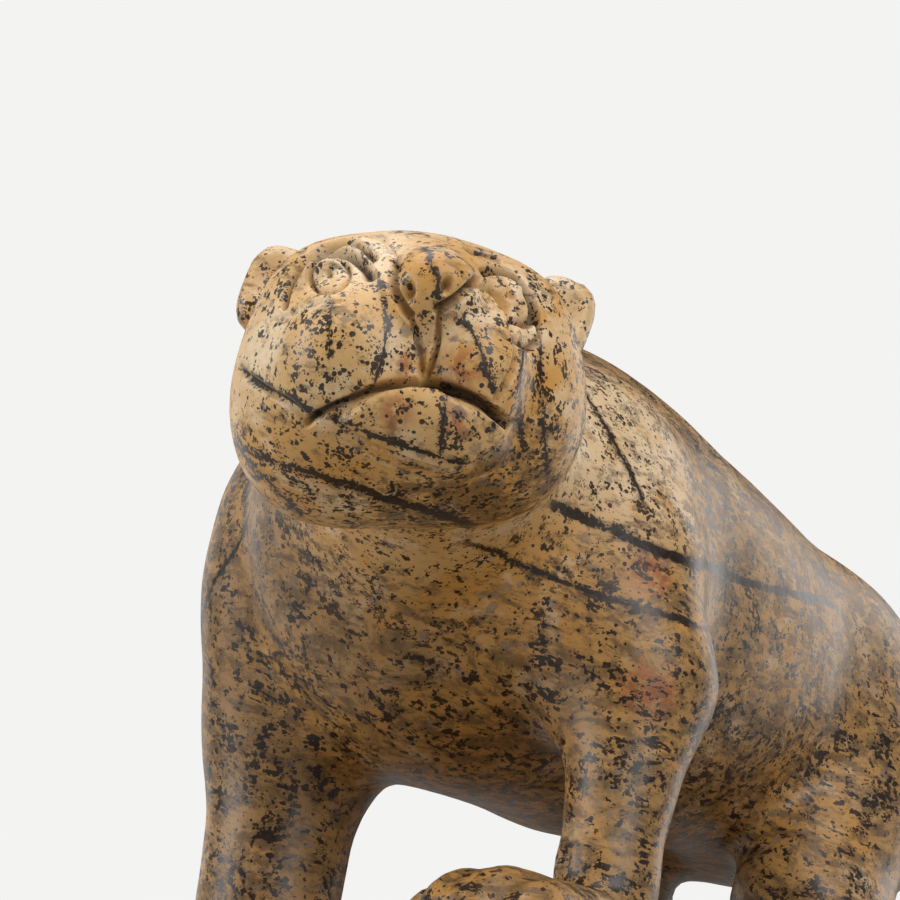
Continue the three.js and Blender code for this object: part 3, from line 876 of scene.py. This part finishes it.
def dendritic_stone(look):
    """The stone's colour, sheen and fine scratches, from places in millimetres."""
    board = Board("dendritic stone")
    place = Wire(board, board.node("ShaderNodeTexCoord", {}).outputs["Object"])
    at = board.vector("SCALE", place, Scale=1000)

    def ball(centre, radius, soft=0.35):
        reach = board.vector("DISTANCE", at, centre, out=1)
        return reach.smooth(radius * (1 - soft), radius * (1 + soft), 1, 0)

    def patches(spots):
        total = ball(*spots[0], 0.6)
        for spot in spots[1:]:
            total = total.top(ball(*spot, 0.6))
        return total

    # Ground: the head is the palest part of the block; the body away from it is darker, partly the
    # stone's own tone and partly painted shade
    off_head = 1 - ball((29, -89, 112), 38, 0.35)
    cloud = board.noise(at, 26, 4, 0.6)
    drift = board.noise(at, 8, 5, 0.62, shift=31)
    grain = board.noise(at, 1.3, 4, 0.65, shift=57)
    ground = board.mix(cloud.smooth(0.42, 0.6), tuple(look.ochre), tuple(look.tan))
    pale = drift.smooth(0.5, 0.66) * 0.6
    # Cream clouds of the stone, with the painted pool of light on the neck
    pale = pale.top(patches(CREAM_AND_LIGHT_PATCHES) * (drift + 0.1).smooth(0.4, 0.6) * 0.8)
    ground = board.mix(pale, ground, tuple(look.cream))
    # Darker body: partly the stone's own umber, partly painted shade away from the head; held back
    # under the cream patches
    dull = off_head * (1 - patches(CREAM_AND_LIGHT_PATCHES) * 0.65)
    ground = board.mix(dull * (0.45 + cloud.smooth(0.4, 0.6) * 0.35), ground, tuple(look.umber_and_shade))
    bedding = (-0.43, 0.06, -0.9)
    level = board.vector("DOT_PRODUCT", at, bedding, out=1)
    apart = board.joined(level * 1.3)
    layered = board.stirred(at, 14, 7, 2, shift=29)
    layered = board.vector("MULTIPLY_ADD", bedding, apart, layered)
    smoke = board.noise(layered, 5, 6, 0.72, shift=41)
    chin = patches(DARK_PATCHES)
    dim = (smoke + dull * 0.1 + chin * 0.16).smooth(0.52, 0.68)
    ground = board.mix(dim * 0.75, ground, tuple(look.smoke))
    red = patches(RED_PATCHES) * board.noise(at, 1.6, 4, 0.6, shift=71).smooth(0.36, 0.54)
    flecks = grain.smooth(0.35, 0.7) * (0.35 - off_head * 0.15)
    ground = board.mix(flecks, ground, tuple(look.ochre))
    ground = board.mix(red * 0.65, ground, tuple(look.red))

    # Veins: seams of dark stone that blots crowd along like frost
    stray = board.noise(at, 30, 2, 0.5, shift=19) - 0.5
    wander = board.noise(at, 14, 2, 0.5, shift=83) * 2
    wander = wander + board.noise(at, 1.8, 2, 0.6, shift=3) * 0.9 - 1.45
    wander = wander + stray * off_head * 6
    broken = board.noise(at, 2.2, 3, 0.6, shift=47).smooth(0.36, 0.54)
    veins, frost = None, None
    for facing, offset, width, centre, radius in VEINS:
        across = abs(board.vector("DOT_PRODUCT", at, facing, out=1) - offset + wander)
        inside = ball(centre, radius, 0.15)
        seam = broken.times_plus(-width / 2, across).smooth(-0.05, 0.05, 1, 0) * inside
        rime = across.smooth(0.15, width / 2 + 0.6, 1, 0) * inside
        veins = seam if veins is None else veins.top(seam)
        frost = rime if frost is None else frost.top(rime)

    ground = board.mix(frost * (0.25 + off_head * 0.3), ground, tuple(look.smoke))

    # Grey, half clear spots
    soft_at = board.stirred(at, 1.5, 0.5, 2, shift=13)
    far, chance, _ = board.cells(soft_at, 2.6)
    grey = (chance * 0.4 - far).smooth(-0.04, 0.06) * drift.smooth(0.44, 0.54)
    ground = board.mix(grey * 0.6, ground, tuple(look.grey))

    # Black blots: clusters of small round dots, crowded in some places and sparse in others
    crowd = board.noise(at, 8, 3, 0.6, shift=11).smooth(0.38, 0.62).top(patches(CROWDED)).top(chin)
    upright = board.vector("MULTIPLY", at, (1, 1, 0.3))
    rows = board.noise(upright, 2.4, 2, 0.5, shift=9).smooth(0.44, 0.6)
    thick = crowd * 0.09 + rows * 0.07 + frost * 0.13
    dot_size = look.dot_size / MM
    bent = board.stirred(at, dot_size, dot_size * 0.15, 2, shift=5)

    def dots(spacing, cluster, start, steep, most):
        """Dots that grow and run together where the clusters are thick."""
        far, chance, _ = board.cells(bent, spacing)
        reach = ((cluster + thick - start) * steep).low(most)
        return (reach + chance * 0.12 - 0.06 - far).smooth(0, 0.05)

    cluster = board.noise(at, dot_size * 2.3, 3, 0.55, shift=5) - dull * 0.03
    blots = dots(dot_size, cluster, 0.59, 6, 0.62)
    cluster = board.noise(layered, dot_size * 4, 3, 0.6, shift=67) + dull * 0.03
    large = dots(dot_size * 1.8, cluster, 0.6, 6, 0.7) * dull
    cluster = board.noise(at, dot_size * 1.8, 2, 0.6, shift=27)
    dust = dots(dot_size * 0.55, cluster, 0.62, 5, 0.5)
    far, chance, other = board.cells(bent, dot_size * 1.8)
    lone = (chance.smooth(0.55, 0.9) * (0.17 + other * 0.2) + crowd * 0.03 - far).smooth(0, 0.05)

    dark = blots.top(large).top(lone).top(dust * 0.9).top(veins)
    depth = board.noise(at, 0.7, 2, shift=17)
    black = board.mix(depth.smooth(0.4, 0.75), tuple(look.dark), tuple(look.brown))
    colour = board.mix(dark * 0.95, ground, black)

    # Cut lines hold dirt and painted shade, darker the deeper the cut, and have pale, bruised edges
    stored = board.node("ShaderNodeAttribute", {"attribute_name": "cut"})
    cut_depth = Wire(board, stored.outputs["Fac"])
    bruise = cut_depth.smooth(0.01, 0.08) * (1 - cut_depth.smooth(0.08, 0.3))
    bruise = bruise * board.noise(at, 0.5, 3, shift=23).smooth(0.4, 0.6)
    colour = board.mix(bruise * 0.35, colour, tuple(look.cream))
    # Painted shade and dirt in the cuts: brown where shallow, near black where deep
    colour = board.mix(cut_depth.smooth(0.15, 0.8) * 0.4, colour, tuple(look.brown))
    colour = board.mix(cut_depth.smooth(0.6, 1.4) * 0.75, colour, tuple(look.dark))

    # Fine scratches from the last rubbing down
    along = board.vector("MULTIPLY", board.stirred(at, 30, 8, shift=7), (0.25, 0.25, 3))
    scratch = board.noise(along, 0.9, 3, 0.6, shift=61)
    pits = board.noise(at, 0.45, 3, 0.6, shift=19)
    marks = board.noise(at, 2.6, 2, 0.5, shift=37)
    height = scratch * 0.35 + pits * 0.4 + marks * 1.2
    bump = board.node("ShaderNodeBump", {}, Strength=0.5, Distance=0.00012, Height=height)

    sheen = 0.4 - dark * 0.08 + grain * 0.12 + cut_depth.smooth(0.1, 0.5) * 0.3
    board.feed(board.shader.inputs["Base Color"], colour)
    board.feed(board.shader.inputs["Roughness"], sheen + (look.roughness - ROUGHNESS))
    board.feed(board.shader.inputs["Normal"], Wire(board, bump.outputs[0]))
    board.shader.inputs["IOR"].default_value = 1.53
    board.shader.inputs["Specular IOR Level"].default_value = 0.4
    return board.material


def floor_finish(studio):
    """A pale floor that fades into the backdrop further off."""
    board = Board("pale floor")
    place = Wire(board, board.node("ShaderNodeTexCoord", {}).outputs["Object"])
    fade = board.vector("LENGTH", place, out=1).smooth(0.3, 1.2)
    black = (0, 0, 0)
    glow = board.mix(fade, black, tuple(studio.backdrop))
    board.feed(board.shader.inputs["Base Color"], board.mix(fade, tuple(studio.floor), black))
    board.feed(board.shader.inputs["Emission Color"], glow)
    board.shader.inputs["Emission Strength"].default_value = 1
    board.shader.inputs["Roughness"].default_value = 0.85
    board.material.cycles.emission_sampling = "NONE"
    return board.material


# What a user can change


def size(name, text, value, low, high):
    return bpy.props.FloatProperty(
        name=name,
        description=text,
        default=value,
        min=low,
        max=high,
        precision=5,
        subtype="DISTANCE",
        unit="LENGTH",
    )


def colour(name, text, *values):
    return bpy.props.FloatVectorProperty(
        name=name, description=text, default=shade(*values), min=0, max=1, size=3, subtype="COLOR"
    )


def power(name, text, value):
    return bpy.props.FloatProperty(name=name, description=text, default=value, min=0, unit="POWER")


class StoneCatForm(bpy.types.PropertyGroup):
    mesh_step: size("Mesh step", "Spacing of the points away from the head", 0.0019, 0.001, 0.01)
    wave_height: size(
        "Wave height", "How uneven hand grinding leaves the surface", WAVES["Height"], 0, 0.002
    )
    wave_spacing: size(
        "Wave spacing", "Distance from one ground hollow to the next", WAVES["Spacing"], 0.002, 0.05
    )


class StoneCatStone(bpy.types.PropertyGroup):
    ochre: colour("Ochre", "The stone's ground colour", 204, 150, 76)
    tan: colour("Tan", "The ground colour in paler areas", 216, 175, 116)
    cream: colour("Cream", "The pale clouds", 233, 213, 180)
    # Umber: partly the stone's own darker tone on the body, partly painted shade there
    umber_and_shade: colour("Umber", "The ground colour away from the head", 128, 93, 50)
    smoke: colour("Smoke", "The dim clouds in the ground", 70, 56, 42)
    red: colour("Red", "The rust-stained patches", 150, 68, 30)
    grey: colour("Grey", "The half clear spots", 122, 106, 96)
    # Dark and brown also give the cuts their painted shade and dirt, brown in the shallow ones
    dark: colour("Dark", "The black blots, veins and dirt in the cuts", 20, 14, 13)
    brown: colour("Brown", "The lighter parts of the blots", 50, 34, 26)
    dot_size: size(
        "Dot size", "Spacing of the round dots that make up the blots", 0.00065, 0.0002, 0.01
    )
    roughness: bpy.props.FloatProperty(
        name="Roughness",
        description="How dull the rubbed surface is",
        default=ROUGHNESS,
        min=0.15,
        max=0.9,
        subtype="FACTOR",
    )


class StoneCatStudio(bpy.types.PropertyGroup):
    floor: colour("Floor", "The floor's colour", 165, 165, 163)
    backdrop: colour("Backdrop", "The colour behind the cat", 243, 243, 242)
    key: power("Top light", "Power of the soft light above", 2)
    side: power("Side lights", "Power of each soft light ahead and to a side", 6.5)
    back: power("Back lights", "Power of the soft light behind. The one at the left has half", 4)
    air: bpy.props.FloatProperty(
        name="Room light",
        description="Strength of the light from all round",
        default=0.03,
        min=0,
        subtype="FACTOR",
    )


# Operators

FLOOR_HALF = 1.5
CAMERA_PLACE = (0.1726, -0.2845, 0.012)
CAMERA_TURN = (110.5, 0, 35)
LENS = 74.92


class STONECAT_OT_cat(bpy.types.Operator):
    """Carves the cat with its rock and gives it its stone"""

    bl_idname = "stone_cat.cat"
    bl_label = "Cat and rock"

    def execute(self, context):
        form, look = context.scene.stone_cat_form, context.scene.stone_cat_stone
        surface = stone_form()
        mesh = remeshed("cat", form.mesh_step)
        if not mesh.polygons:
            raise RuntimeError("the cat's surface came out empty")
        settle(mesh, surface, 2)
        divide(mesh, around_head)
        settle(mesh, surface, 2)
        divide(mesh, on_face)
        settle(mesh, surface, 4)
        divide(mesh, beside_cuts)
        settle(mesh, surface, 3)
        settle(mesh, surface, 1, even=0)
        store(mesh, "cut", press_lines(mesh, surface) / DEEP_CUT)
        store(mesh, "wavy", room_to_wave(mesh_points(mesh)))
        cat = bpy.data.objects.new("carved_cat", mesh)
        context.scene.collection.objects.link(cat)
        stone = dendritic_stone(look)
        cat.data.materials.append(stone)
        give_waviness(cat, waviness_tree(stone), Height=form.wave_height, Spacing=form.wave_spacing)
        low, high = (np.array(corner) / MM for corner in CAD_BOX)
        set_mesh_points(cat.data, np.clip(mesh_points(cat.data), low, high))
        cat.data.shade_smooth()
        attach(cat, "root")
        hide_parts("cat")
        return {"FINISHED"}


def soft_light(name, place, target, width, height, power, spread=180):
    lamp = bpy.data.lights.new(name, "AREA")
    lamp.shape = "RECTANGLE"
    lamp.size, lamp.size_y = width, height
    lamp.energy = power
    lamp.spread = math.radians(spread)
    obj = bpy.data.objects.new(name, lamp)
    obj.location = place
    obj.rotation_euler = (Vector(target) - Vector(place)).to_track_quat("-Z", "Y").to_euler()
    bpy.context.scene.collection.objects.link(obj)


class STONECAT_OT_studio(bpy.types.Operator):
    """Sets up the floor, the soft lights and the camera"""

    bl_idname = "stone_cat.studio"
    bl_label = "Studio"

    def execute(self, context):
        studio, scene = context.scene.stone_cat_studio, context.scene
        mesh = bpy.data.meshes.new("floor")
        half = FLOOR_HALF
        corners = [(-half, -half, 0), (half, -half, 0), (half, half, 0), (-half, half, 0)]
        mesh.from_pydata(corners, [], [(0, 1, 2, 3)])
        mesh.materials.append(floor_finish(studio))
        floor = bpy.data.objects.new("floor", mesh)
        scene.collection.objects.link(floor)

        middle = (0.02, -0.03, 0.08)
        soft_light("top light", (0.02, -0.10, 0.85), middle, 0.8, 0.8, studio.key, 100)
        soft_light("right light", (0.85, -0.35, 0.6), middle, 0.5, 0.7, studio.side)
        soft_light("left light", (-0.65, -0.75, 0.45), middle, 0.5, 0.7, studio.side)
        soft_light("back left light", (-1.1, 0.3, 0.4), middle, 0.5, 0.9, studio.back / 2)
        soft_light("back right light", (0.3, 1.1, 0.4), middle, 0.5, 0.9, studio.back)

        world = bpy.data.worlds.new("studio air")
        world.use_nodes = True
        scene.world = world
        nodes, links = world.node_tree.nodes, world.node_tree.links
        air = nodes["Background"]
        air.inputs["Color"].default_value = (1, 1, 1, 1)
        air.inputs["Strength"].default_value = studio.air
        seen = nodes.new("ShaderNodeBackground")
        seen.inputs["Color"].default_value = (*studio.backdrop, 1)
        path, either = nodes.new("ShaderNodeLightPath"), nodes.new("ShaderNodeMixShader")
        links.new(path.outputs["Is Camera Ray"], either.inputs[0])
        links.new(air.outputs[0], either.inputs[1])
        links.new(seen.outputs[0], either.inputs[2])
        links.new(either.outputs[0], nodes["World Output"].inputs["Surface"])

        view = bpy.data.cameras.new("photo view")
        view.sensor_width = 36
        view.lens = LENS
        view.clip_start = 0.01
        camera = bpy.data.objects.new("photo view", view)
        camera.location = CAMERA_PLACE
        camera.rotation_euler = [math.radians(angle) for angle in CAMERA_TURN]
        scene.collection.objects.link(camera)
        scene.camera = camera
        scene.view_settings.view_transform = "Standard"
        return {"FINISHED"}


class STONECAT_PT_panel(bpy.types.Panel):
    """Lists the carved cat's steps and settings"""

    bl_idname = "STONECAT_PT_panel"
    bl_label = "Stone cat"
    bl_space_type = "VIEW_3D"
    bl_region_type = "UI"
    bl_category = "Stone cat"

    def draw(self, context):
        scene = context.scene
        for step, group in (
            (STONECAT_OT_cat, (scene.stone_cat_form, scene.stone_cat_stone)),
            (STONECAT_OT_studio, (scene.stone_cat_studio,)),
        ):
            box = self.layout.box()
            for settings in group:
                for name in settings.__annotations__:
                    box.prop(settings, name)
            box.operator(step.bl_idname)


CLASSES = (
    StoneCatForm,
    StoneCatStone,
    StoneCatStudio,
    STONECAT_OT_cat,
    STONECAT_OT_studio,
    STONECAT_PT_panel,
)


def register():
    for entry in CLASSES:
        bpy.utils.register_class(entry)
    bpy.types.Scene.stone_cat_form = bpy.props.PointerProperty(type=StoneCatForm)
    bpy.types.Scene.stone_cat_stone = bpy.props.PointerProperty(type=StoneCatStone)
    bpy.types.Scene.stone_cat_studio = bpy.props.PointerProperty(type=StoneCatStudio)


def unregister():
    del bpy.types.Scene.stone_cat_studio
    del bpy.types.Scene.stone_cat_stone
    del bpy.types.Scene.stone_cat_form
    for entry in reversed(CLASSES):
        bpy.utils.unregister_class(entry)


def main():
    register()
    bpy.ops.stone_cat.cat()
    bpy.ops.stone_cat.studio()


if __name__ == "__main__":
    main()
